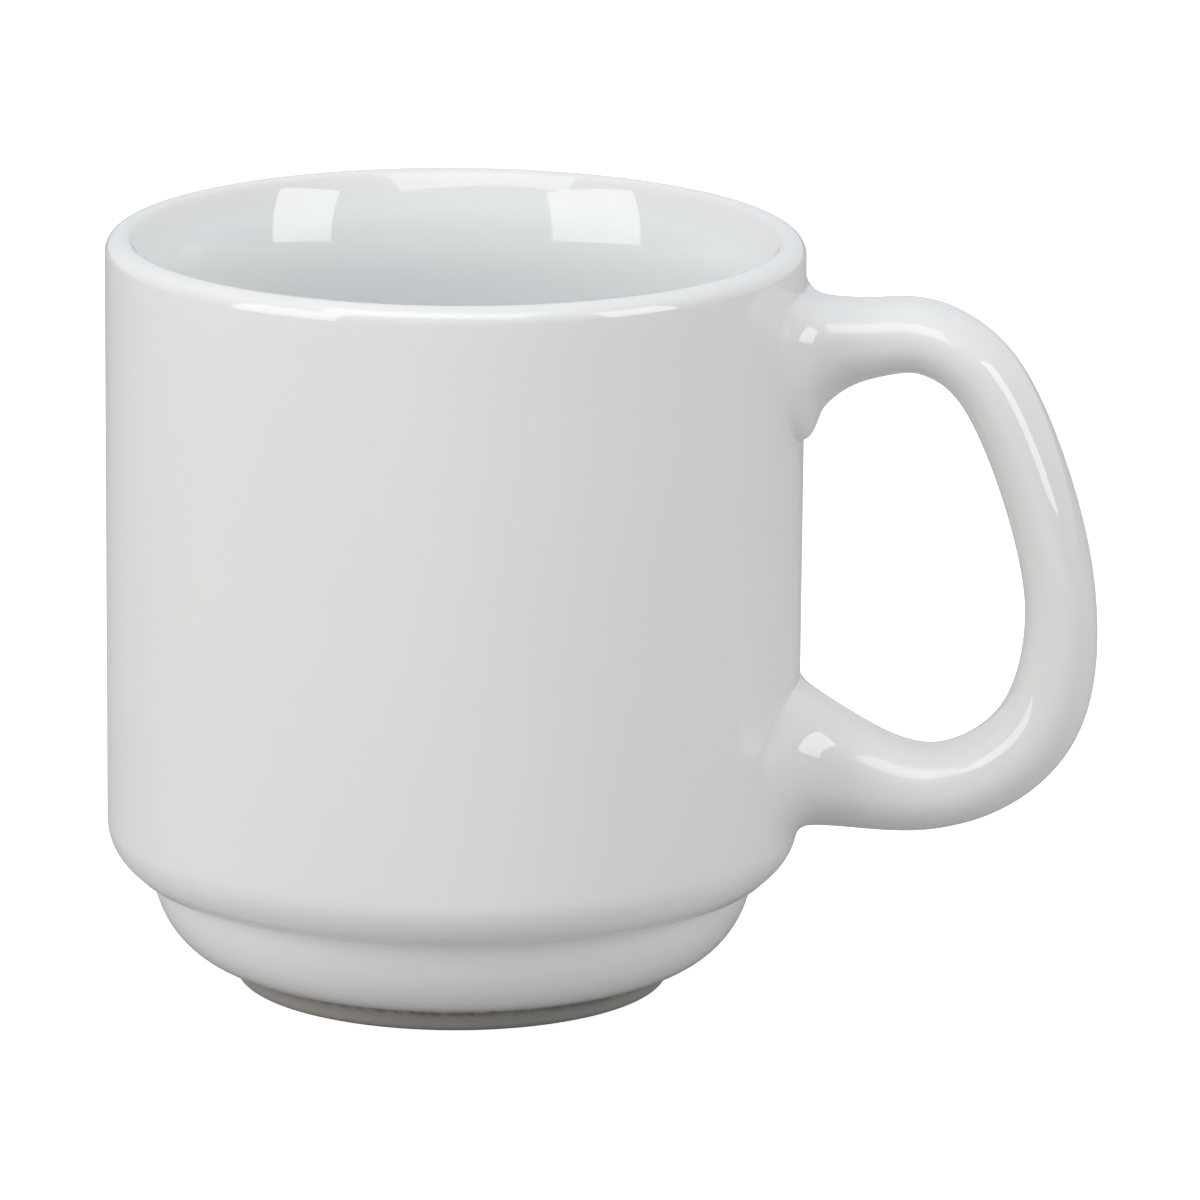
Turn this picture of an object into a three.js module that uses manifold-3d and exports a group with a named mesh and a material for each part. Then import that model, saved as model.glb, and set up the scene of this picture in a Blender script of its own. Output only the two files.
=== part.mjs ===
// A stacking mug in white glazed porcelain, in millimetres, +Z up. The foot stands on z = 0
// and the handle points along +X. The mug is built round the cup's own axis and then moved,
// so that the origin is under the middle of the whole mug, handle included.
import * as THREE from "three";
import { mergeVertices } from "three/addons/utils/BufferGeometryUtils.js";
import Module from "manifold-3d";

const wasm = await Module();
wasm.setup();

// ---- driving dimensions -------------------------------------------------------------

const HEIGHT = 90;
const RIM_RADIUS = 41.25; // outside of the rim, half of 82.5
const RIM_ROUND = 2; // the outer edge of the rim is a quarter round up to the crest
const RIM_TAPER = 12.5; // inside, the wall thickens over this depth below the crest
const WALL_THICKNESS = 6;

const WALL_BASE_RADIUS = 41.1; // the wall is drawn in a little where the shoulder starts
const SHOULDER_TOP = 19.5;
const SHOULDER_ROUND = 6.2;
const SHOULDER_SWEEP = THREE.MathUtils.degToRad(54);

const LEDGE_HEIGHT = 14; // the flat step under the shoulder
const LIP_ROUND = 0.5;
const BAND_RADIUS = 35.8; // the band below the step drops inside another mug's rim

const FOOT_RADIUS = 25.8;
const FOOT_HEIGHT = 2.8;
const FOOT_WIDTH = 4;
const FOOT_ROUND = 1;
const UNDERSIDE_HEIGHT = 2; // the glazed recess inside the foot ring

const FLOOR_HEIGHT = 6.5; // inside floor
const FLOOR_FLAT_RADIUS = 15;
const BOWL_TOP = 26; // the inside curves in to the floor below this height

const HANDLE_HALF_WIDTH = 6.8;
const HANDLE_TOP_HALF_DEPTH = 4.2;
const HANDLE_BASE_HALF_DEPTH = 4.85;
const ROOT_FLARE = 4.2; // extra half depth where an end meets the wall
const UPPER_FLARE_FADE = 2.7; // distance over which a flare falls to about a third
const LOWER_FLARE_FADE = 5.6;
const ROOT_SPREAD = 7.5; // extra half width inside the wall's curve
const SPREAD_DEPTH = 2; // how far inside the wall the spread starts
const SPREAD_FADE = 2.2;

const SLIP_THICKNESS = 0.6; // fired slip between the handle's ends and the wall
const FIT_GAP = 0.3;

const LATHE_SEGMENTS = 64;
const ARC_STEPS = 4;
const HANDLE_SIDES = 20;
const HANDLE_STEPS = 44;

// ---- materials ----------------------------------------------------------------------

const glazedPorcelain = new THREE.MeshStandardMaterial({
  color: 0xdadad6,
  roughness: 0.12,
  metalness: 0,
});
const handlePorcelain = glazedPorcelain.clone();
const upperSlipMaterial = new THREE.MeshStandardMaterial({
  color: 0xcfcdc6,
  roughness: 0.35,
  metalness: 0,
});
const lowerSlipMaterial = upperSlipMaterial.clone();

// ---- solids -------------------------------------------------------------------------

function solidOf(geometry) {
  const bare = geometry.clone();
  bare.deleteAttribute("normal");
  bare.deleteAttribute("uv");
  const merged = mergeVertices(bare, 1e-4);
  return new wasm.Manifold(
    new wasm.Mesh({
      numProp: 3,
      vertProperties: new Float32Array(merged.attributes.position.array),
      triVerts: new Uint32Array(merged.index.array),
    }),
  );
}

function geometryOf(solid) {
  const mesh = solid.getMesh();
  const geometry = new THREE.BufferGeometry();
  geometry.setAttribute("position", new THREE.BufferAttribute(mesh.vertProperties, 3));
  geometry.setIndex(new THREE.BufferAttribute(mesh.triVerts, 1));
  geometry.computeVertexNormals();
  return geometry;
}

// A closed outline of radius and height, turned about the Z axis.
function turned(outline) {
  const geometry = new THREE.LatheGeometry(outline, LATHE_SEGMENTS);
  geometry.rotateX(Math.PI / 2);
  return geometry;
}

// A plain sleeve standing on the cup's axis, as tall as the cup.
function sleeve(inner, outer) {
  const outline = [
    new THREE.Vector2(inner, 0),
    new THREE.Vector2(outer, 0),
    new THREE.Vector2(outer, HEIGHT),
    new THREE.Vector2(inner, HEIGHT),
    new THREE.Vector2(inner, 0),
  ];
  return solidOf(turned(outline));
}

// ---- cup body -----------------------------------------------------------------------

function cupOutline() {
  const crestRadius = RIM_RADIUS - RIM_ROUND;
  const footInner = FOOT_RADIUS - FOOT_WIDTH;
  const shoulderCentre = WALL_BASE_RADIUS - SHOULDER_ROUND;
  const lipRadius = shoulderCentre + SHOULDER_ROUND * Math.cos(SHOULDER_SWEEP);
  const innerRadius = RIM_RADIUS - WALL_THICKNESS;
  const quarter = Math.PI / 2;

  const path = new THREE.Path();
  path.moveTo(0, UNDERSIDE_HEIGHT);
  path.lineTo(footInner - FOOT_ROUND, UNDERSIDE_HEIGHT);
  path.absarc(footInner + FOOT_ROUND, FOOT_ROUND, FOOT_ROUND, -2 * quarter, -quarter);
  path.absarc(FOOT_RADIUS - FOOT_ROUND, FOOT_ROUND, FOOT_ROUND, -quarter, 0);
  // The band swells from the foot ring to the step as a quarter ellipse.
  const bandWidth = BAND_RADIUS - FOOT_RADIUS;
  const bandRise = LEDGE_HEIGHT - FOOT_HEIGHT;
  path.absellipse(FOOT_RADIUS, LEDGE_HEIGHT, bandWidth, bandRise, -quarter, 0);
  path.lineTo(lipRadius - LIP_ROUND, LEDGE_HEIGHT);
  path.absarc(shoulderCentre, SHOULDER_TOP, SHOULDER_ROUND, -SHOULDER_SWEEP, 0);
  path.absarc(crestRadius, HEIGHT - RIM_ROUND, RIM_ROUND, 0, quarter);
  const taperWidth = crestRadius - innerRadius;
  const taperFoot = HEIGHT - RIM_TAPER;
  path.absellipse(crestRadius, taperFoot, taperWidth, RIM_TAPER, quarter, 2 * quarter);
  const bowlWidth = innerRadius - FLOOR_FLAT_RADIUS;
  const bowlDepth = BOWL_TOP - FLOOR_HEIGHT;
  path.absellipse(FLOOR_FLAT_RADIUS, BOWL_TOP, bowlWidth, bowlDepth, 0, -quarter, true);
  path.lineTo(0, FLOOR_HEIGHT);
  return path.getPoints(ARC_STEPS);
}

const cupBody = new THREE.Mesh(turned(cupOutline()), glazedPorcelain);
cupBody.name = "cup_body";

// ---- handle -------------------------------------------------------------------------

// The middle of the handle in its own plane: distance from the cup's axis, then height.
// Both ends run on into the wall, where the wall trims them.
const handleRoute = new THREE.CatmullRomCurve3(
  [
    [38, 76.6], // upper root
    [55, 80], // top run
    [64, 73.5], // upper corner
    [72.2, 46], // outermost reach
    [67.7, 31], // lower corner
    [56.5, 25.5], // bottom run
    [38, 28.8], // lower root
  ].map(([reach, height]) => new THREE.Vector3(reach, 0, height)),
);

// A unit cylinder bent along the route: its length runs along the handle, and each ring is
// stretched to the handle's depth and width at that place.
function handleGeometry() {
  const geometry = new THREE.CylinderGeometry(1, 1, 1, HANDLE_SIDES, HANDLE_STEPS);
  const position = geometry.attributes.position;
  const place = new THREE.Vector3();
  for (let i = 0; i < position.count; i++) {
    const along = 0.5 + position.getY(i);
    const middle = handleRoute.getPointAt(along);
    const heading = handleRoute.getTangentAt(along);
    const outward = new THREE.Vector3(-heading.z, 0, heading.x);
    const fromWall = middle.x - RIM_RADIUS;
    const flareFade = along < 0.5 ? UPPER_FLARE_FADE : LOWER_FLARE_FADE;
    const halfDepth =
      THREE.MathUtils.lerp(HANDLE_TOP_HALF_DEPTH, HANDLE_BASE_HALF_DEPTH, along) +
      ROOT_FLARE * Math.exp(-Math.max(fromWall, 0) / flareFade);
    const halfWidth =
      HANDLE_HALF_WIDTH +
      ROOT_SPREAD * Math.exp(-Math.max(fromWall + SPREAD_DEPTH, 0) / SPREAD_FADE);
    place.copy(middle).addScaledVector(outward, halfDepth * position.getX(i));
    place.y = halfWidth * position.getZ(i);
    position.setXYZ(i, place.x, place.y, place.z);
  }
  return geometry;
}

const handleLoft = solidOf(handleGeometry());
const slipInner = RIM_RADIUS + FIT_GAP;
const slipOuter = slipInner + SLIP_THICKNESS;
const handleStart = slipOuter + FIT_GAP;

// The cup's side of the loft is cut away to a hollow that fits the wall. The cut is solid to
// the axis, so it is a sleeve with a bore too small to matter.
const CUT_BORE = 1;
const handleSolid = handleLoft.subtract(sleeve(CUT_BORE, handleStart));
const handle = new THREE.Mesh(geometryOf(handleSolid), handlePorcelain);
handle.name = "handle";

// ---- luting slip --------------------------------------------------------------------

// Each end of the handle is stuck to the wall by a film of slip of the end's own outline.
const slipFilms = handleLoft.intersect(sleeve(slipInner, slipOuter)).decompose();
slipFilms.sort((a, b) => b.boundingBox().max[2] - a.boundingBox().max[2]);

const upperSlip = new THREE.Mesh(geometryOf(slipFilms[0]), upperSlipMaterial);
upperSlip.name = "upper_luting_slip";

const lowerSlip = new THREE.Mesh(geometryOf(slipFilms[1]), lowerSlipMaterial);
lowerSlip.name = "lower_luting_slip";

// ---- assembly -----------------------------------------------------------------------

const mug = new THREE.Group();
mug.add(cupBody, upperSlip, lowerSlip, handle);
const span = new THREE.Box3().setFromObject(mug);
mug.position.x = -(span.min.x + span.max.x) / 2;

const part = new THREE.Group();
part.add(mug);

export default part;
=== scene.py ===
"""A white glazed stacking mug: a turned cup, a cast handle and the slip that joins them."""
import math

import bmesh
import bpy
from mathutils import Matrix, Vector


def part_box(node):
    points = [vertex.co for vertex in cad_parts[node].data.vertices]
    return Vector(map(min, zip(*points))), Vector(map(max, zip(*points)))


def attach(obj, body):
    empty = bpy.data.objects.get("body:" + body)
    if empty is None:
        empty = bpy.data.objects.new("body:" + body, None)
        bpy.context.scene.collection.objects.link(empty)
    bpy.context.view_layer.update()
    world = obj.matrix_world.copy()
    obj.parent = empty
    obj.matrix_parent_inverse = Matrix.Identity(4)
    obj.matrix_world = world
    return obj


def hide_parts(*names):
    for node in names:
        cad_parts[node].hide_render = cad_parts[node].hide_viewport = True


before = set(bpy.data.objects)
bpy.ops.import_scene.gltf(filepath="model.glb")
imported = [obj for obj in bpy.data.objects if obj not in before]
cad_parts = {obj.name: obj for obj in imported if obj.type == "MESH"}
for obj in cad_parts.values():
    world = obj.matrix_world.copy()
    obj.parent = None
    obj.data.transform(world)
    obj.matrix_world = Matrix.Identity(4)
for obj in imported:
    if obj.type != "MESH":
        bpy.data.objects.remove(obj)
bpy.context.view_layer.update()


# ---- Camera ----------------------------------------------------------------------------
# A long lens, a little above the rim and a few degrees round to the handle's side, with
# the whole mug in the middle of the frame. The cup's axis is upright, the handle points
# along +X and the foot stands at height 0.

MM = 0.001
cup_low, cup_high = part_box("cup_body")
AXIS_X = (cup_low.x + cup_high.x) / 2
HEIGHT = cup_high.z
CAMERA_TURN = math.radians(8)
CAMERA_RISE = math.radians(13.94)
CAMERA_DISTANCE = 1.247
CAMERA_ROLL = math.radians(0.5)
SENSOR = 36
LENS = 315.6
FARTHEST_SEEN = 20
aim_from_cup = Vector((17.3 * MM, 0.9 * MM, 0))

toward_camera = Vector((
    math.sin(CAMERA_TURN) * math.cos(CAMERA_RISE),
    -math.cos(CAMERA_TURN) * math.cos(CAMERA_RISE),
    math.sin(CAMERA_RISE),
))
cup_middle = Vector((AXIS_X, 0, HEIGHT / 2))
camera_right = Vector((math.cos(CAMERA_TURN), math.sin(CAMERA_TURN), 0))
aim = cup_middle + camera_right * aim_from_cup.x + Vector((0, 0, aim_from_cup.y))
camera_place = cup_middle + toward_camera * CAMERA_DISTANCE

bpy.ops.object.camera_add(location=camera_place)
camera = bpy.context.object
camera.name = "camera"
camera.data.sensor_width = SENSOR
camera.data.lens = LENS
camera.data.clip_end = FARTHEST_SEEN
look = (aim - camera_place).to_track_quat("-Z", "Y")
camera.matrix_world = Matrix.Translation(camera_place) @ look.to_matrix().to_4x4()
camera.matrix_world = camera.matrix_world @ Matrix.Rotation(CAMERA_ROLL, 4, "Z")
bpy.context.scene.camera = camera


# ---- Cup body --------------------------------------------------------------------------
# One piece of white porcelain, jiggered in a plaster mould: a straight wall with a rolled
# rim, a rounded shoulder over a flat step, a bowl-shaped band and a low foot ring. It is
# dipped in clear glaze, and the foot is wiped bare where it stands in the kiln.

RIM_RADIUS = (cup_high.x - cup_low.x) / 2
RIM_ROUND = 2.0 * MM
RIM_INNER_ROUND = 1.2 * MM
RIM_INNER_SWEEP = 60
RIM_TAPER = 14.0 * MM
TAPER_BEND = 2.6
WALL_THICKNESS = 6.0 * MM
WALL_BASE_RADIUS = 41.1 * MM
SHOULDER_TOP = 19.5 * MM
SHOULDER_ROUND = 6.2 * MM
SHOULDER_SWEEP = math.radians(54)
LEDGE_HEIGHT = 14.0 * MM
LEDGE_HOLLOW = 0.35 * MM
LIP_ROUND = 0.45 * MM
BAND_RADIUS = 35.8 * MM
FOOT_RADIUS = 25.8 * MM
FOOT_HEIGHT = 2.8 * MM
FOOT_WIDTH = 4.0 * MM
FOOT_ROUND = 1.0 * MM
UNDERSIDE_HEIGHT = 2.0 * MM
UNDERSIDE_ROUND = 1.2 * MM
FLOOR_HEIGHT = 6.5 * MM
FLOOR_FLAT_RADIUS = 15.0 * MM
BOWL_TOP = 26.0 * MM
TURNING_STEPS = 240
MERGE = 0.002 * MM


def arc(centre, across, up, start, end, steps):
    """Points on an upright ellipse in the outline's plane, from one angle to another."""
    points = []
    for step in range(steps + 1):
        angle = math.radians(start + (end - start) * step / steps)
        points.append((centre[0] + across * math.cos(angle), centre[1] + up * math.sin(angle)))
    return points


def run(start, end, steps):
    """Points along a straight stretch, with its two ends."""
    return [
        (start[0] + (end[0] - start[0]) * step / steps, start[1] + (end[1] - start[1]) * step / steps)
        for step in range(steps + 1)
    ]


def taper(start, end, bend, steps):
    """Points down the inside of the rim, leaning less and less until the wall is upright."""
    points = []
    for step in range(steps + 1):
        share = step / steps
        radius = end[0] + (start[0] - end[0]) * (1 - share) ** bend
        points.append((radius, start[1] + (end[1] - start[1]) * share))
    return points


def cup_outline():
    """Radius and height, from the middle of the underside round to the inside floor."""
    foot_inner = FOOT_RADIUS - FOOT_WIDTH
    crest = RIM_RADIUS - RIM_ROUND
    inner = RIM_RADIUS - WALL_THICKNESS
    shoulder = (WALL_BASE_RADIUS - SHOULDER_ROUND, SHOULDER_TOP)
    sweep = math.degrees(SHOULDER_SWEEP)
    lip_edge = shoulder[0] + SHOULDER_ROUND * math.cos(SHOULDER_SWEEP)
    wall_foot = (WALL_BASE_RADIUS, SHOULDER_TOP)
    wall_head = (RIM_RADIUS, HEIGHT - RIM_ROUND)
    inner_round = arc(
        (crest, HEIGHT - RIM_INNER_ROUND), RIM_INNER_ROUND, RIM_INNER_ROUND, 90, 90 + RIM_INNER_SWEEP, 8
    )
    recess_corner = (foot_inner - UNDERSIDE_ROUND, UNDERSIDE_HEIGHT - UNDERSIDE_ROUND)
    stretches = [
        run((0, UNDERSIDE_HEIGHT), (recess_corner[0], UNDERSIDE_HEIGHT), 8),
        arc(recess_corner, UNDERSIDE_ROUND, UNDERSIDE_ROUND, 90, 0, 5),
        arc((foot_inner + FOOT_ROUND, FOOT_ROUND), FOOT_ROUND, FOOT_ROUND, 190, 270, 6),
        arc((FOOT_RADIUS - FOOT_ROUND, FOOT_ROUND), FOOT_ROUND, FOOT_ROUND, -90, 0, 7),
        arc((FOOT_RADIUS, LEDGE_HEIGHT), BAND_RADIUS - FOOT_RADIUS, LEDGE_HEIGHT - FOOT_HEIGHT, -90, 0, 22),
        run((BAND_RADIUS, LEDGE_HEIGHT + LEDGE_HOLLOW), (lip_edge - LIP_ROUND, LEDGE_HEIGHT), 3),
        arc(shoulder, SHOULDER_ROUND, SHOULDER_ROUND, -sweep, 0, 14),
        run(wall_foot, wall_head, 30),
        arc((crest, HEIGHT - RIM_ROUND), RIM_ROUND, RIM_ROUND, 0, 90, 12),
        inner_round,
        taper(inner_round[-1], (inner, HEIGHT - RIM_TAPER), TAPER_BEND, 18),
        run((inner, HEIGHT - RIM_TAPER), (inner, BOWL_TOP), 16),
        arc((FLOOR_FLAT_RADIUS, BOWL_TOP), inner - FLOOR_FLAT_RADIUS, BOWL_TOP - FLOOR_HEIGHT, 0, -90, 20),
        run((FLOOR_FLAT_RADIUS, FLOOR_HEIGHT), (0, FLOOR_HEIGHT), 6),
    ]
    outline = []
    for stretch in stretches:
        for point in stretch:
            if not outline or math.dist(point, outline[-1]) > MERGE:
                outline.append(point)
    return outline


def start_piece(name, primitive, **place):
    """Adds a primitive as a new object with nothing else selected."""
    bpy.ops.object.select_all(action="DESELECT")
    primitive(**place)
    piece = bpy.context.object
    piece.name = name
    piece.data.name = name
    return piece


def settle(piece):
    """Puts the object's origin at the frame's origin, with its place in its mesh."""
    bpy.ops.object.select_all(action="DESELECT")
    piece.select_set(True)
    bpy.context.view_layer.objects.active = piece
    bpy.ops.object.transform_apply(location=True, rotation=True, scale=True)


def finish_mesh(piece):
    """Merges doubles and turns every face outwards."""
    bpy.context.view_layer.objects.active = piece
    bpy.ops.object.mode_set(mode="EDIT")
    bpy.ops.mesh.select_all(action="SELECT")
    bpy.ops.mesh.remove_doubles(threshold=MERGE)
    bpy.ops.mesh.normals_make_consistent(inside=False)
    bpy.ops.object.mode_set(mode="OBJECT")
    settle(piece)
    bpy.ops.object.shade_smooth()


outline = cup_outline()
cup = start_piece("cup_casting", bpy.ops.mesh.primitive_plane_add, size=MM, location=(AXIS_X, 0, 0))
bpy.ops.object.mode_set(mode="EDIT")
bpy.ops.mesh.merge(type="CENTER")
bpy.ops.transform.translate(value=(outline[0][0], 0, outline[0][1]))
for here, there in zip(outline, outline[1:]):
    step = (there[0] - here[0], 0, there[1] - here[1])
    bpy.ops.mesh.extrude_region_move(TRANSFORM_OT_translate={"value": step})
bpy.ops.mesh.select_all(action="SELECT")
bpy.ops.mesh.spin(steps=TURNING_STEPS, angle=2 * math.pi, center=(AXIS_X, 0, 0), axis=(0, 0, 1))
bpy.ops.object.mode_set(mode="OBJECT")
finish_mesh(cup)


def tint(red, green, blue):
    """A colour with no transparency."""
    return red, green, blue, 1


def shader(name):
    """A new material with nodes, and its main shader."""
    material = bpy.data.materials.new(name)
    material.use_nodes = True
    return material, material.node_tree.nodes["Principled BSDF"]


def add_node(material, kind, name, **inputs):
    """A node of that kind, with its inputs set or linked by name."""
    node = material.node_tree.nodes.new("ShaderNode" + kind)
    node.name = name
    for socket, value in inputs.items():
        set_input(material, node.inputs[socket.replace("_", " ")], value)
    return node


def set_input(material, socket, value):
    """Links the socket to another node's output, or gives it a plain value."""
    if isinstance(value, bpy.types.NodeSocket):
        material.node_tree.links.new(value, socket)
    else:
        socket.default_value = value


def math_of(material, operation, first, second=0.0):
    """One sum, product or comparison of two values."""
    node = material.node_tree.nodes.new("ShaderNodeMath")
    node.operation = operation
    set_input(material, node.inputs[0], first)
    set_input(material, node.inputs[1], second)
    return node.outputs[0]


def ramp_of(material, value, start, end, low=0.0, high=1.0):
    """A soft step from low to high as the value goes from start to end."""
    node = material.node_tree.nodes.new("ShaderNodeMapRange")
    node.interpolation_type = "SMOOTHSTEP"
    set_input(material, node.inputs["Value"], value)
    node.inputs["From Min"].default_value = start
    node.inputs["From Max"].default_value = end
    node.inputs["To Min"].default_value = low
    node.inputs["To Max"].default_value = high
    return node.outputs["Result"]


def blend_of(material, factor, first, second):
    """One colour turning into another."""
    node = material.node_tree.nodes.new("ShaderNodeMix")
    node.data_type = "RGBA"
    set_input(material, node.inputs["Factor"], factor)
    set_input(material, node.inputs["A"], first)
    set_input(material, node.inputs["B"], second)
    return node.outputs["Result"]


GLAZE_THIN = tint(0.757, 0.732, 0.703)
GLAZE_THICK = tint(0.739, 0.727, 0.704)
# Painted light: the inside's cooler, lighter tint stands in for the bluish light falling into the cup.
INSIDE_PAINTED_LIGHT = tint(0.785, 0.797, 0.787)
# Painted shade: the darker tint in the groove under the shoulder, where the lip overhangs the band.
GROOVE_PAINTED_SHADE = tint(0.60, 0.62, 0.60)
GLAZE_BEND = 1.55
GLAZE_GLOSS = (0.02, 0.06)
GLOSS_RUNS = (0.3, 0.75)
CLOUD_SCALE = 38.0
RUN_SCALE = 150.0
RUN_SQUASH = (1, 1, 0.22)
RUN_SHARE = 0.4
THIN_TO_THICK = (0.5, 0.95)
INSIDE_EDGE = (3.5 * MM, 5.0 * MM)
INSIDE_MARGIN = 1 * MM
GROOVE_SHADE_SHARE = 0.7
GROOVE_SHADE_HALF_HEIGHT = 0.9 * MM
GROOVE_SHADE_INNER_EDGE = (0.6 * MM, 0.1 * MM)
GROOVE_SHADE_OUTER_EDGE = (1.6 * MM, 0.4 * MM)
SPECK = tint(0.10, 0.085, 0.07)
SPECK_SPACING = 85.0
SPECK_RARITY = 0.9
SPECK_SIZE = 0.022
SPECK_SHARE = 0.75
BARE_CLAY = tint(0.40, 0.388, 0.362)
BARE_EDGE = tint(0.27, 0.235, 0.20)
BARE_HEIGHT = 2.45 * MM
BARE_ROUGHNESS = 0.85
BARE_INNER_EDGE = (0.6 * MM, 0.2 * MM)
EDGE_SCALE = 220.0
EDGE_WANDER = 0.9 * MM
EDGE_SOFTNESS = 0.12 * MM
EDGE_LINE = (0.9 * MM, 0.1 * MM)
GRIT_SCALE = 900.0
GRIT_HEIGHT = 0.08 * MM
GRIT_STRENGTH = 0.6
GRIT_CLEANS_EDGE = (0.35, 0.7)
PEEL_SCALE = 420.0
PEEL_HEIGHT = 0.006 * MM
PEEL_STRENGTH = 0.35
SWAY_SCALE = 55.0
SWAY_HEIGHT = 0.10 * MM
SWAY_STRENGTH = 0.5

white_glaze, glaze = shader("white_glaze")
glaze.inputs["IOR"].default_value = GLAZE_BEND
spot = add_node(white_glaze, "TexCoord", "place_on_mug").outputs["Object"]
centred = add_node(white_glaze, "Mapping", "from_cup_axis", Vector=spot, Location=(-AXIS_X, 0, 0))
parts = add_node(white_glaze, "SeparateXYZ", "place_parts", Vector=centred.outputs["Vector"])
height_here = parts.outputs["Z"]
across = math_of(white_glaze, "POWER", parts.outputs["X"], 2.0)
along = math_of(white_glaze, "POWER", parts.outputs["Y"], 2.0)
radius_here = math_of(white_glaze, "SQRT", math_of(white_glaze, "ADD", across, along))

# The coat: thicker and thinner clouds, faint runs down the wall, and painted light inside: a cooler,
# lighter tint that stands in for the bluish light from above and its bounce in the cup.
cloud = add_node(white_glaze, "TexNoise", "glaze_thickness", Vector=spot, Scale=CLOUD_SCALE, Detail=2.0)
flow = add_node(white_glaze, "Mapping", "run_of_glaze", Vector=spot, Scale=RUN_SQUASH)
flow_spot = flow.outputs["Vector"]
streak = add_node(white_glaze, "TexNoise", "glaze_runs", Vector=flow_spot, Scale=RUN_SCALE, Detail=1.0)
runs = math_of(white_glaze, "MULTIPLY", streak.outputs["Fac"], RUN_SHARE)
thickness = math_of(white_glaze, "ADD", cloud.outputs["Fac"], runs)
coat = blend_of(white_glaze, ramp_of(white_glaze, thickness, *THIN_TO_THICK), GLAZE_THIN, GLAZE_THICK)
is_inside = math_of(
    white_glaze, "MULTIPLY",
    ramp_of(white_glaze, radius_here, RIM_RADIUS - INSIDE_EDGE[0], RIM_RADIUS - INSIDE_EDGE[1]),
    ramp_of(white_glaze, height_here, UNDERSIDE_HEIGHT + INSIDE_MARGIN, FLOOR_HEIGHT - INSIDE_MARGIN),
)
# Painted light: the inside of the cup gets the cooler, lighter tint.
coat = blend_of(white_glaze, is_inside, coat, INSIDE_PAINTED_LIGHT)

# Painted shade in the groove under the shoulder, where the lip overhangs the band.
above_ledge = math_of(white_glaze, "SUBTRACT", height_here, LEDGE_HEIGHT)
from_ledge = math_of(white_glaze, "ABSOLUTE", above_ledge)
past_band = ramp_of(
    white_glaze, radius_here, BAND_RADIUS - GROOVE_SHADE_INNER_EDGE[0], BAND_RADIUS - GROOVE_SHADE_INNER_EDGE[1],
)
before_lip = ramp_of(
    white_glaze, radius_here, BAND_RADIUS + GROOVE_SHADE_OUTER_EDGE[0], BAND_RADIUS + GROOVE_SHADE_OUTER_EDGE[1],
)
in_groove = math_of(
    white_glaze, "MULTIPLY",
    ramp_of(white_glaze, from_ledge, GROOVE_SHADE_HALF_HEIGHT, 0.0),
    math_of(white_glaze, "MULTIPLY", past_band, before_lip),
)
# Painted shade darkens the groove under the lip.
coat = blend_of(white_glaze, math_of(white_glaze, "MULTIPLY", in_groove, GROOVE_SHADE_SHARE), coat, GROOVE_PAINTED_SHADE)

# A few iron specks burnt through from the clay.
cells = add_node(white_glaze, "TexVoronoi", "speck_cells", Vector=spot, Scale=SPECK_SPACING)
chosen = add_node(white_glaze, "SeparateColor", "speck_choice", Color=cells.outputs["Color"])
speck_size = ramp_of(white_glaze, chosen.outputs["Red"], SPECK_RARITY, 1.0, 0.0, SPECK_SIZE)
is_speck = math_of(white_glaze, "LESS_THAN", cells.outputs["Distance"], speck_size)
coat = blend_of(white_glaze, math_of(white_glaze, "MULTIPLY", is_speck, SPECK_SHARE), coat, SPECK)

# The wiped foot: bare gritty clay, browner along the wandering edge of the glaze.
grit = add_node(white_glaze, "TexNoise", "clay_grit", Vector=spot, Scale=GRIT_SCALE, Detail=4.0)
wobble = add_node(white_glaze, "TexNoise", "glaze_edge", Vector=spot, Scale=EDGE_SCALE, Detail=2.0)
wander = math_of(white_glaze, "SUBTRACT", wobble.outputs["Fac"], 0.5)
edge_shift = math_of(white_glaze, "MULTIPLY", wander, EDGE_WANDER)
edge_height = math_of(white_glaze, "ADD", height_here, edge_shift)
is_low = ramp_of(white_glaze, edge_height, BARE_HEIGHT + EDGE_SOFTNESS, BARE_HEIGHT - EDGE_SOFTNESS)
foot_inside = FOOT_RADIUS - FOOT_WIDTH
on_foot = ramp_of(
    white_glaze, radius_here, foot_inside - BARE_INNER_EDGE[0], foot_inside - BARE_INNER_EDGE[1],
)
is_bare = math_of(white_glaze, "MULTIPLY", is_low, on_foot)
edge_line = ramp_of(white_glaze, edge_height, BARE_HEIGHT - EDGE_LINE[0], BARE_HEIGHT - EDGE_LINE[1])
clay = blend_of(white_glaze, edge_line, BARE_CLAY, BARE_EDGE)
worn_edge = ramp_of(white_glaze, grit.outputs["Fac"], *GRIT_CLEANS_EDGE)
clay = blend_of(white_glaze, worn_edge, clay, BARE_CLAY)
set_input(white_glaze, glaze.inputs["Base Color"], blend_of(white_glaze, is_bare, coat, clay))

gloss_change = ramp_of(white_glaze, streak.outputs["Fac"], *GLOSS_RUNS, *GLAZE_GLOSS)
shine = add_node(white_glaze, "Mix", "gloss_or_bare", Factor=is_bare)
shine.data_type = "FLOAT"
set_input(white_glaze, shine.inputs["A"], gloss_change)
set_input(white_glaze, shine.inputs["B"], BARE_ROUGHNESS)
set_input(white_glaze, glaze.inputs["Roughness"], shine.outputs["Result"])

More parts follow.
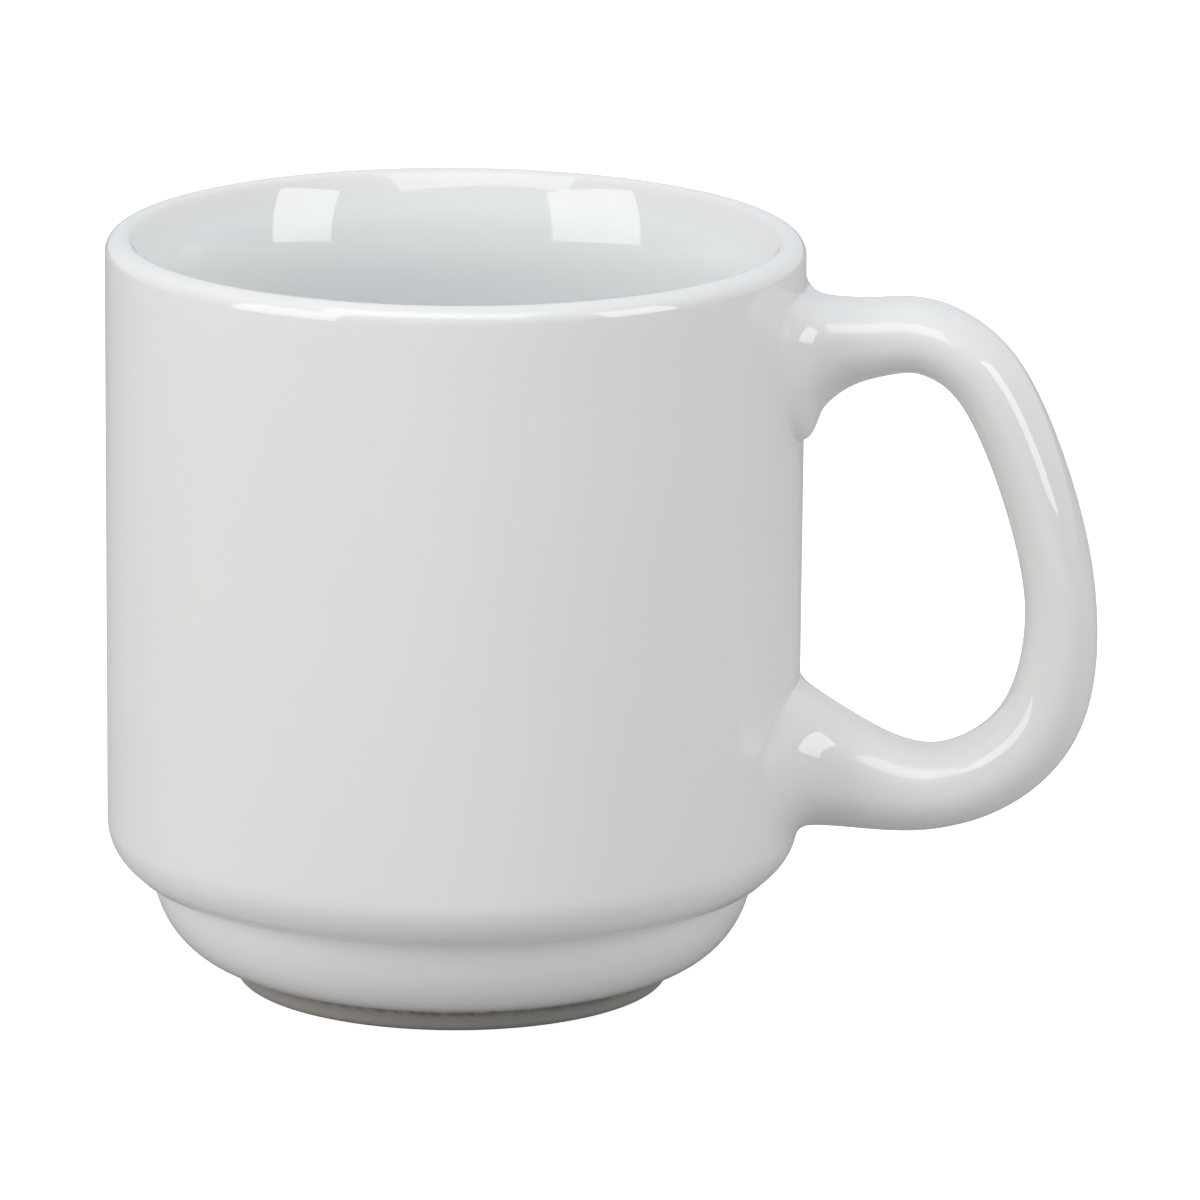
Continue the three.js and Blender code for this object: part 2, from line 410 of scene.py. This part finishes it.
# The surface: orange peel in the glaze, a slight sway in the wall, and the bare clay's grit.
peel = add_node(white_glaze, "TexNoise", "orange_peel", Vector=spot, Scale=PEEL_SCALE, Detail=1.0)
sway = add_node(white_glaze, "TexNoise", "wall_sway", Vector=flow_spot, Scale=SWAY_SCALE, Detail=0.0)
peel_bump = add_node(
    white_glaze, "Bump", "peel_bump", Height=peel.outputs["Fac"],
    Strength=PEEL_STRENGTH, Distance=PEEL_HEIGHT,
)
sway_bump = add_node(
    white_glaze, "Bump", "sway_bump", Height=sway.outputs["Fac"],
    Strength=SWAY_STRENGTH, Distance=SWAY_HEIGHT, Normal=peel_bump.outputs["Normal"],
)
bare_grit = math_of(white_glaze, "MULTIPLY", grit.outputs["Fac"], is_bare)
grit_bump = add_node(
    white_glaze, "Bump", "grit_bump", Height=bare_grit,
    Strength=GRIT_STRENGTH, Distance=GRIT_HEIGHT, Normal=sway_bump.outputs["Normal"],
)
set_input(white_glaze, glaze.inputs["Normal"], grit_bump.outputs["Normal"])
cup.data.materials.append(white_glaze)
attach(cup, "root")
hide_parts("cup_body")


# ---- Handle and the slip at its two ends -------------------------------------------------
# Cast on its own in a two-part mould, as a bent bar with an oval section and flared ends.
# Each end gets a film of slip, which is liquid clay, and is pressed to the wall while both
# clays are leather-hard. The glaze runs over the joints.

HANDLE_SIDES = 48
HALF_WIDTH = 6.6 * MM
SECTION_FULLNESS = 2.2
TOP_HALF_DEPTH = 4.15 * MM
BASE_HALF_DEPTH = 4.88 * MM
TOP_SWELL = 0.6 * MM
BAR_STEP = 1.9 * MM
ROOT_STEPS = 18
ROOT_REACH = 19 * MM
ROOT_CROWDING = 2.3
TILT_REACH = 8 * MM
SINK = 0.015 * MM
SINK_REACH = 1.0 * MM
WALL_FOLLOW = 14 * MM
CAP_SCALES = (0.85, 0.73, 0.7, 0.5, 0.3, 0.15)
FLAT_CAP_RINGS = 2
CREASE_ANGLE = math.radians(50)
SLIP_RECESS = 0.5 * MM
UPPER_SIDE_FLARE = (6.0 * MM, 5.8 * MM)
UPPER_TOP_FLARE = (1.45 * MM, 1.45 * MM)
UPPER_WEB = (10.5 * MM, 10.5 * MM)
TOE_START = 5.5 * MM
TOE_LENGTH = 2.1 * MM
TOE_THICKNESS = 1.65 * MM
LOWER_SIDE_FLARE = (8.4 * MM, 7.0 * MM)
LOWER_TOP_RISE = 4.35 * MM
LOWER_TOP_REACH = 17 * MM
LOWER_BASE_RISE = 3.0 * MM
LOWER_BASE_REACH = 19 * MM
LOWER_BASE_FLARE = (2.4 * MM, 2.4 * MM)
handle_line = [
    (38, 79.2), (48.5, 79.5), (56, 79.8), (63, 75), (72, 49), (69.3, 33), (59, 25.8), (38, 28.8),
]


def wall_distance(across, height):
    """How far the cup's outer wall is from the cup's axis, along X, at a place on it."""
    if height > SHOULDER_TOP:
        share = (height - SHOULDER_TOP) / (HEIGHT - RIM_ROUND - SHOULDER_TOP)
        radius = WALL_BASE_RADIUS + (RIM_RADIUS - WALL_BASE_RADIUS) * share
    else:
        drop = min(SHOULDER_TOP - height, SHOULDER_ROUND * math.sin(SHOULDER_SWEEP))
        radius = WALL_BASE_RADIUS - SHOULDER_ROUND + math.sqrt(SHOULDER_ROUND ** 2 - drop ** 2)
    return math.sqrt(radius ** 2 - across ** 2)


def smooth_line(points, steps):
    """A curve through the points, as close short steps, turning evenly at each of them."""
    knots = [Vector(point) for point in points]
    knots = [2 * knots[0] - knots[1]] + knots + [2 * knots[-1] - knots[-2]]
    line = []
    for before, start, end, after in zip(knots, knots[1:], knots[2:], knots[3:]):
        gap_before = math.sqrt((start - before).length)
        gap = math.sqrt((end - start).length)
        gap_after = math.sqrt((after - end).length)
        leaving = (start - before) / gap_before - (end - before) / (gap_before + gap) + (end - start) / gap
        arriving = (end - start) / gap - (after - start) / (gap + gap_after) + (after - end) / gap_after
        for step in range(steps):
            t = step / steps
            line.append(
                start * (2 * t ** 3 - 3 * t ** 2 + 1) + leaving * gap * (t ** 3 - 2 * t ** 2 + t)
                + end * (3 * t ** 2 - 2 * t ** 3) + arriving * gap * (t ** 3 - t ** 2)
            )
    line.append(knots[-2])
    return line


def flare(distance, reach):
    """How far a fillet stands out, at a distance from the wall; its reach is out and off the wall."""
    if distance >= reach[1]:
        return 0
    return reach[0] * (1 - math.sqrt(1 - (1 - distance / reach[1]) ** 2))


def fade(distance, reach, power):
    """From 1 at the wall to 0 at the reach."""
    return max(0, 1 - distance / reach) ** power


def upper_flares(distance):
    """Fillets on the outside, the sides and the inside of the bend where the bar leaves the cup."""
    under = flare(distance, UPPER_WEB)
    if distance < TOE_THICKNESS:
        under = TOE_START + TOE_LENGTH * math.sqrt(1 - (distance / TOE_THICKNESS) ** 2)
    return flare(distance, UPPER_TOP_FLARE), flare(distance, UPPER_SIDE_FLARE), under


def lower_flares(distance):
    """The same three where the bar comes back to the cup: its outside is now underneath."""
    top = LOWER_TOP_RISE * fade(distance, LOWER_TOP_REACH, 2)
    base = LOWER_BASE_RISE * fade(distance, LOWER_BASE_REACH, 1.3) + flare(distance, LOWER_BASE_FLARE)
    return base, flare(distance, LOWER_SIDE_FLARE), top


line = [point * MM for point in smooth_line(handle_line, 400)]
line = [point for point in line if point.x >= wall_distance(0, point.y)]
walked = [0]
for here, there in zip(line, line[1:]):
    walked.append(walked[-1] + (there - here).length)
length = walked[-1]

places = [ROOT_REACH * (step / ROOT_STEPS) ** ROOT_CROWDING for step in range(ROOT_STEPS)]
bar_steps = round((length - 2 * ROOT_REACH) / BAR_STEP)
bar_step = (length - 2 * ROOT_REACH) / bar_steps
bar_places = [ROOT_REACH + bar_step * step for step in range(bar_steps + 1)]
places = places + bar_places + [length - place for place in reversed(places)]

rings = []
for place in places:
    after = next((k for k, distance in enumerate(walked) if distance >= place - MERGE), len(walked) - 1)
    after = max(after, 1)
    share = (place - walked[after - 1]) / (walked[after] - walked[after - 1])
    middle = line[after - 1].lerp(line[after], share)
    heading = line[after] - line[after - 1]
    lean = math.atan2(heading.y, heading.x)
    from_wall = min(place, length - place)
    upright = 0 if place < length / 2 else (math.pi if lean > 0 else -math.pi)
    lean = upright + (lean - upright) * (1 - fade(from_wall, TILT_REACH, 1.5))
    lower_share = min(1, max(0, (place / length - 0.5) / 0.2))
    depth = TOP_HALF_DEPTH + (BASE_HALF_DEPTH - TOP_HALF_DEPTH) * lower_share ** 2 * (3 - 2 * lower_share)
    depth += TOP_SWELL * fade(place, ROOT_REACH, 1)
    rings.append((middle, lean, depth, from_wall, place < length / 2))

middle, lean, depth, from_wall, is_upper = rings[0]
handle = start_piece(
    "handle_casting", bpy.ops.mesh.primitive_circle_add,
    vertices=HANDLE_SIDES, radius=HALF_WIDTH, fill_type="NOTHING",
    location=(AXIS_X + middle.x, 0, middle.y), rotation=(0, math.pi / 2, 0),
)
settle(handle)
bpy.ops.object.mode_set(mode="EDIT")
bpy.ops.mesh.select_all(action="SELECT")
bpy.ops.transform.resize(value=(1, 1, depth / HALF_WIDTH), center_override=(AXIS_X + middle.x, 0, middle.y))
for ring, next_ring in zip(rings, rings[1:]):
    place = Vector((AXIS_X + next_ring[0].x, 0, next_ring[0].y))
    step = (next_ring[0].x - ring[0].x, 0, next_ring[0].y - ring[0].y)
    bpy.ops.mesh.extrude_region_move(TRANSFORM_OT_translate={"value": step})
    bpy.ops.transform.rotate(value=-ring[1], orient_axis="Y", center_override=place)
    bpy.ops.transform.resize(value=(1, 1, next_ring[2] / ring[2]), center_override=place)
    bpy.ops.transform.rotate(value=next_ring[1], orient_axis="Y", center_override=place)
bpy.ops.object.mode_set(mode="OBJECT")

for vertex in handle.data.vertices:
    middle, lean, depth, from_wall, is_upper = rings[vertex.index // HANDLE_SIDES]
    outer, side, inner = upper_flares(from_wall) if is_upper else lower_flares(from_wall)
    outwards = Vector((-math.sin(lean), 0, math.cos(lean)))
    ring_middle = Vector((AXIS_X + middle.x, 0, middle.y))
    offset = vertex.co - ring_middle
    turn = math.atan2(offset.dot(outwards) / depth, offset.y / HALF_WIDTH)
    share = math.sin(turn) ** 2
    push = side * (1 - share) + (outer if turn > 0 else inner) * share
    normal = Vector((0, math.cos(turn) / HALF_WIDTH, 0)) + outwards * math.sin(turn) / depth
    roundness = abs(math.cos(turn)) ** SECTION_FULLNESS + abs(math.sin(turn)) ** SECTION_FULLNESS
    fuller = roundness ** (-1 / SECTION_FULLNESS)
    pushed = ring_middle + offset * fuller + normal.normalized() * push
    wall_here = wall_distance(pushed.y, pushed.z) - wall_distance(0, middle.y)
    pushed.x += wall_here * fade(from_wall, WALL_FOLLOW, 2) - SINK * fade(from_wall, SINK_REACH, 1)
    vertex.co = pushed

subdivide = handle.modifiers.new("smooth", "SUBSURF")
subdivide.levels = 1
subdivide.render_levels = 1
bpy.ops.object.modifier_apply(modifier="smooth")


def close_root(piece, is_upper):
    """Closes one end against the wall around a shallow recess, and returns the recess's vertices."""
    bpy.ops.object.select_all(action="DESELECT")
    bpy.context.view_layer.objects.active = piece
    piece.select_set(True)
    split = (rings[0][0].y + rings[-1][0].y) / 2
    bpy.ops.object.mode_set(mode="EDIT")
    bpy.ops.mesh.select_mode(type="VERT")
    bpy.ops.mesh.select_all(action="DESELECT")
    bpy.ops.mesh.select_non_manifold()
    edit = bmesh.from_edit_mesh(piece.data)
    for vertex in edit.verts:
        if vertex.select and (vertex.co.z > split) != is_upper:
            vertex.select = False
    edit.select_flush_mode()
    first_new = len(edit.verts)
    rim = [vertex.co for vertex in edit.verts if vertex.select]
    centre = sum(rim, Vector()) / len(rim)
    scale = 1
    for new_scale in CAP_SCALES:
        bpy.ops.mesh.extrude_region_move()
        ratio = new_scale / scale
        bpy.ops.transform.resize(value=(1, ratio, ratio), center_override=centre)
        scale = new_scale
    bpy.ops.mesh.merge(type="CENTER")
    bpy.ops.object.mode_set(mode="OBJECT")
    first_deep = first_new + FLAT_CAP_RINGS * len(rim)
    for vertex in piece.data.vertices[first_new:]:
        recess = 0 if vertex.index < first_deep else SLIP_RECESS
        vertex.co.x = AXIS_X + wall_distance(vertex.co.y, vertex.co.z) - SINK + recess
    return first_deep, len(piece.data.vertices)


upper_recess = close_root(handle, True)
lower_recess = close_root(handle, False)

SLIP_GAP = 0.03 * MM
SLIP_THICKNESS = 0.42 * MM
SLIP_TONE = tint(0.70, 0.68, 0.64)
SLIP_GRAIN = tint(0.58, 0.56, 0.52)
SLIP_ROUGHNESS = 0.8
SLIP_GRIT_HEIGHT = 0.1 * MM
SLIP_GRIT_STRENGTH = 0.5

fired_slip, slip = shader("fired_slip")
slip.inputs["Roughness"].default_value = SLIP_ROUGHNESS
slip_spot = add_node(fired_slip, "TexCoord", "place_on_mug").outputs["Object"]
slip_grit = add_node(fired_slip, "TexNoise", "slip_grit", Vector=slip_spot, Scale=GRIT_SCALE, Detail=3.0)
slip_colour = blend_of(fired_slip, slip_grit.outputs["Fac"], SLIP_TONE, SLIP_GRAIN)
set_input(fired_slip, slip.inputs["Base Color"], slip_colour)
slip_bump = add_node(
    fired_slip, "Bump", "slip_bump", Height=slip_grit.outputs["Fac"],
    Strength=SLIP_GRIT_STRENGTH, Distance=SLIP_GRIT_HEIGHT,
)
set_input(fired_slip, slip.inputs["Normal"], slip_bump.outputs["Normal"])


def lay_slip(name, first, last, node):
    """The film of slip at one end: the recess's faces, copied and thickened away from the wall."""
    bpy.ops.object.select_all(action="DESELECT")
    bpy.context.view_layer.objects.active = handle
    handle.select_set(True)
    bpy.ops.object.mode_set(mode="EDIT")
    bpy.ops.mesh.select_mode(type="FACE")
    bpy.ops.mesh.select_all(action="DESELECT")
    edit = bmesh.from_edit_mesh(handle.data)
    for face in edit.faces:
        face.select = all(first <= vertex.index < last for vertex in face.verts)
    bpy.ops.mesh.duplicate()
    bpy.ops.mesh.separate(type="SELECTED")
    bpy.ops.object.mode_set(mode="OBJECT")
    film = next(piece for piece in bpy.context.selected_objects if piece != handle)
    film.name = name
    film.data.name = name
    bpy.ops.object.select_all(action="DESELECT")
    film.select_set(True)
    bpy.context.view_layer.objects.active = film
    bpy.ops.transform.translate(value=(-SLIP_GAP, 0, 0))
    thicken = film.modifiers.new("thickness", "SOLIDIFY")
    thicken.thickness = SLIP_THICKNESS
    thicken.offset = 1
    bpy.ops.object.modifier_apply(modifier="thickness")
    finish_mesh(film)
    film.data.materials.append(fired_slip)
    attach(film, "root")
    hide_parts(node)


lay_slip("upper_slip_joint", *upper_recess, "upper_luting_slip")
lay_slip("lower_slip_joint", *lower_recess, "lower_luting_slip")

bpy.ops.object.select_all(action="DESELECT")
handle.select_set(True)
finish_mesh(handle)
bpy.ops.object.shade_smooth_by_angle(angle=CREASE_ANGLE)
handle.data.materials.append(white_glaze)
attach(handle, "root")
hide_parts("handle")


# ---- Floor and lights --------------------------------------------------------------------
# A plain pale floor, a tall soft light each side of the camera and one above the mug, in a
# room that is darker behind the camera and pale behind the mug.

FLOOR_SIZE = 6.0
FLOOR_DROP = 0.05 * MM
FLOOR_TONE = tint(0.50, 0.495, 0.49)
FLOOR_SEEN = tint(0.93, 0.93, 0.93)
FLOOR_ROUGHNESS = 0.9
FLOOR_SHEEN = 0.2
LIGHT_AIM = 0.45
NO_LIGHT = tint(0, 0, 0)
WHITE = tint(1, 1, 1)

floor = start_piece(
    "floor", bpy.ops.mesh.primitive_plane_add, size=FLOOR_SIZE, location=(0, 0, -FLOOR_DROP),
)
floor_paint, paint = shader("floor_paint")
paint.inputs["Roughness"].default_value = FLOOR_ROUGHNESS
paint.inputs["Specular IOR Level"].default_value = FLOOR_SHEEN
paint.inputs["Base Color"].default_value = FLOOR_TONE
paint.inputs["Emission Strength"].default_value = 1.0
floor_seen = add_node(floor_paint, "LightPath", "floor_seen").outputs["Is Camera Ray"]
floor_glow = blend_of(floor_paint, floor_seen, NO_LIGHT, FLOOR_SEEN)
set_input(floor_paint, paint.inputs["Emission Color"], floor_glow)
floor.data.materials.append(floor_paint)


def soft_light(name, turn, distance, width, height, middle, power, colour):
    """A flat light that faces the mug, turned by so many degrees from the camera's direction."""
    angle = CAMERA_TURN + math.radians(turn)
    place = Vector((AXIS_X + distance * math.sin(angle), -distance * math.cos(angle), middle))
    bpy.ops.object.light_add(type="AREA", location=place)
    light = bpy.context.object
    light.name = name
    light.data.shape = "RECTANGLE"
    light.data.size = width
    light.data.size_y = height
    light.data.energy = power
    light.data.color = colour
    target = Vector((AXIS_X, 0, min(middle, LIGHT_AIM)))
    light.rotation_euler = (target - place).to_track_quat("-Z", "Y").to_euler()


soft_light("left_light", -57, 1.1, 0.76, 1.0, 0.46, 7.6, (1.0, 0.965, 0.93))
soft_light("right_light", 62.5, 1.1, 0.52, 0.76, 0.53, 4.5, (1.0, 0.975, 0.945))
soft_light("ceiling_light", -12, 0.50, 1.05, 0.68, 1.0, 5.3, (0.87, 0.94, 1.0))

ROOM_FRONT = tint(0.2, 0.197, 0.195)
ROOM_BACK = tint(0.69, 0.73, 0.78)
ROOM_TOP = tint(0.58, 0.63, 0.69)
FRONT_TO_BACK = (-0.4, 0.8)
SIDES_TO_TOP = (0.3, 0.9)
room = bpy.data.worlds.new("room")
bpy.context.scene.world = room
room.use_nodes = True
sky = room.node_tree.nodes["Background"]
around = add_node(room, "TexCoord", "around").outputs["Generated"]
way = add_node(room, "SeparateXYZ", "way", Vector=around)
walls = blend_of(room, ramp_of(room, way.outputs["Y"], *FRONT_TO_BACK), ROOM_FRONT, ROOM_BACK)
tone = blend_of(room, ramp_of(room, way.outputs["Z"], *SIDES_TO_TOP), walls, ROOM_TOP)
room_seen = add_node(room, "LightPath", "room_seen").outputs["Is Camera Ray"]
set_input(room, sky.inputs["Color"], blend_of(room, room_seen, tone, WHITE))
bpy.context.scene.view_settings.view_transform = "Standard"
